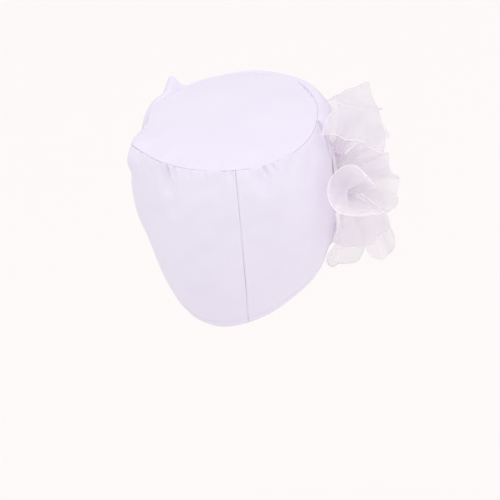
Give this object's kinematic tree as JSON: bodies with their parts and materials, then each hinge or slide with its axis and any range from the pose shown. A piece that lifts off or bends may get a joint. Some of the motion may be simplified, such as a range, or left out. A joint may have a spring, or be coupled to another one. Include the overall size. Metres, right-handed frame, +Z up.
{
  "type": "turban hat",
  "caption": "Ready-sewn turban hat: a soft rounded crown, smooth back, draped folded front and a large ruffled organza flower on the wearer's right side.",
  "frame": {"origin": "the inside of the crown tip, at its middle, where the top of the head bears on it", "axes": "+Z up, -Y the way the wearer faces, -X the wearer's right side, where the flower is"},
  "size_m": [0.2568, 0.2241, 0.2178],
  "materials": {
    "cap_cloth": "soft matt lilac-white cloth",
    "organza": "crisp pale lilac organza with a faint sheen",
    "buckram": "stiff matt white backing cloth"
  },
  "bodies": {
    "root": {"crown_tip": "cap_cloth", "back_panel_left": "cap_cloth", "back_panel_right": "cap_cloth", "front_drape": "cap_cloth", "flower_base": "buckram", "petal_top": "organza", "petal_top_back": "organza", "petal_horn": "organza", "petal_low_back": "organza", "petal_low_inside": "organza", "petal_low_outside": "organza", "petal_low_front": "organza", "petal_front_low": "organza", "petal_front": "organza", "petal_front_top": "organza", "inner_back": "organza", "inner_low": "organza", "inner_front_low": "organza", "inner_front_top": "organza", "inner_top": "organza", "heart": "organza"}
  },
  "joints": []
}
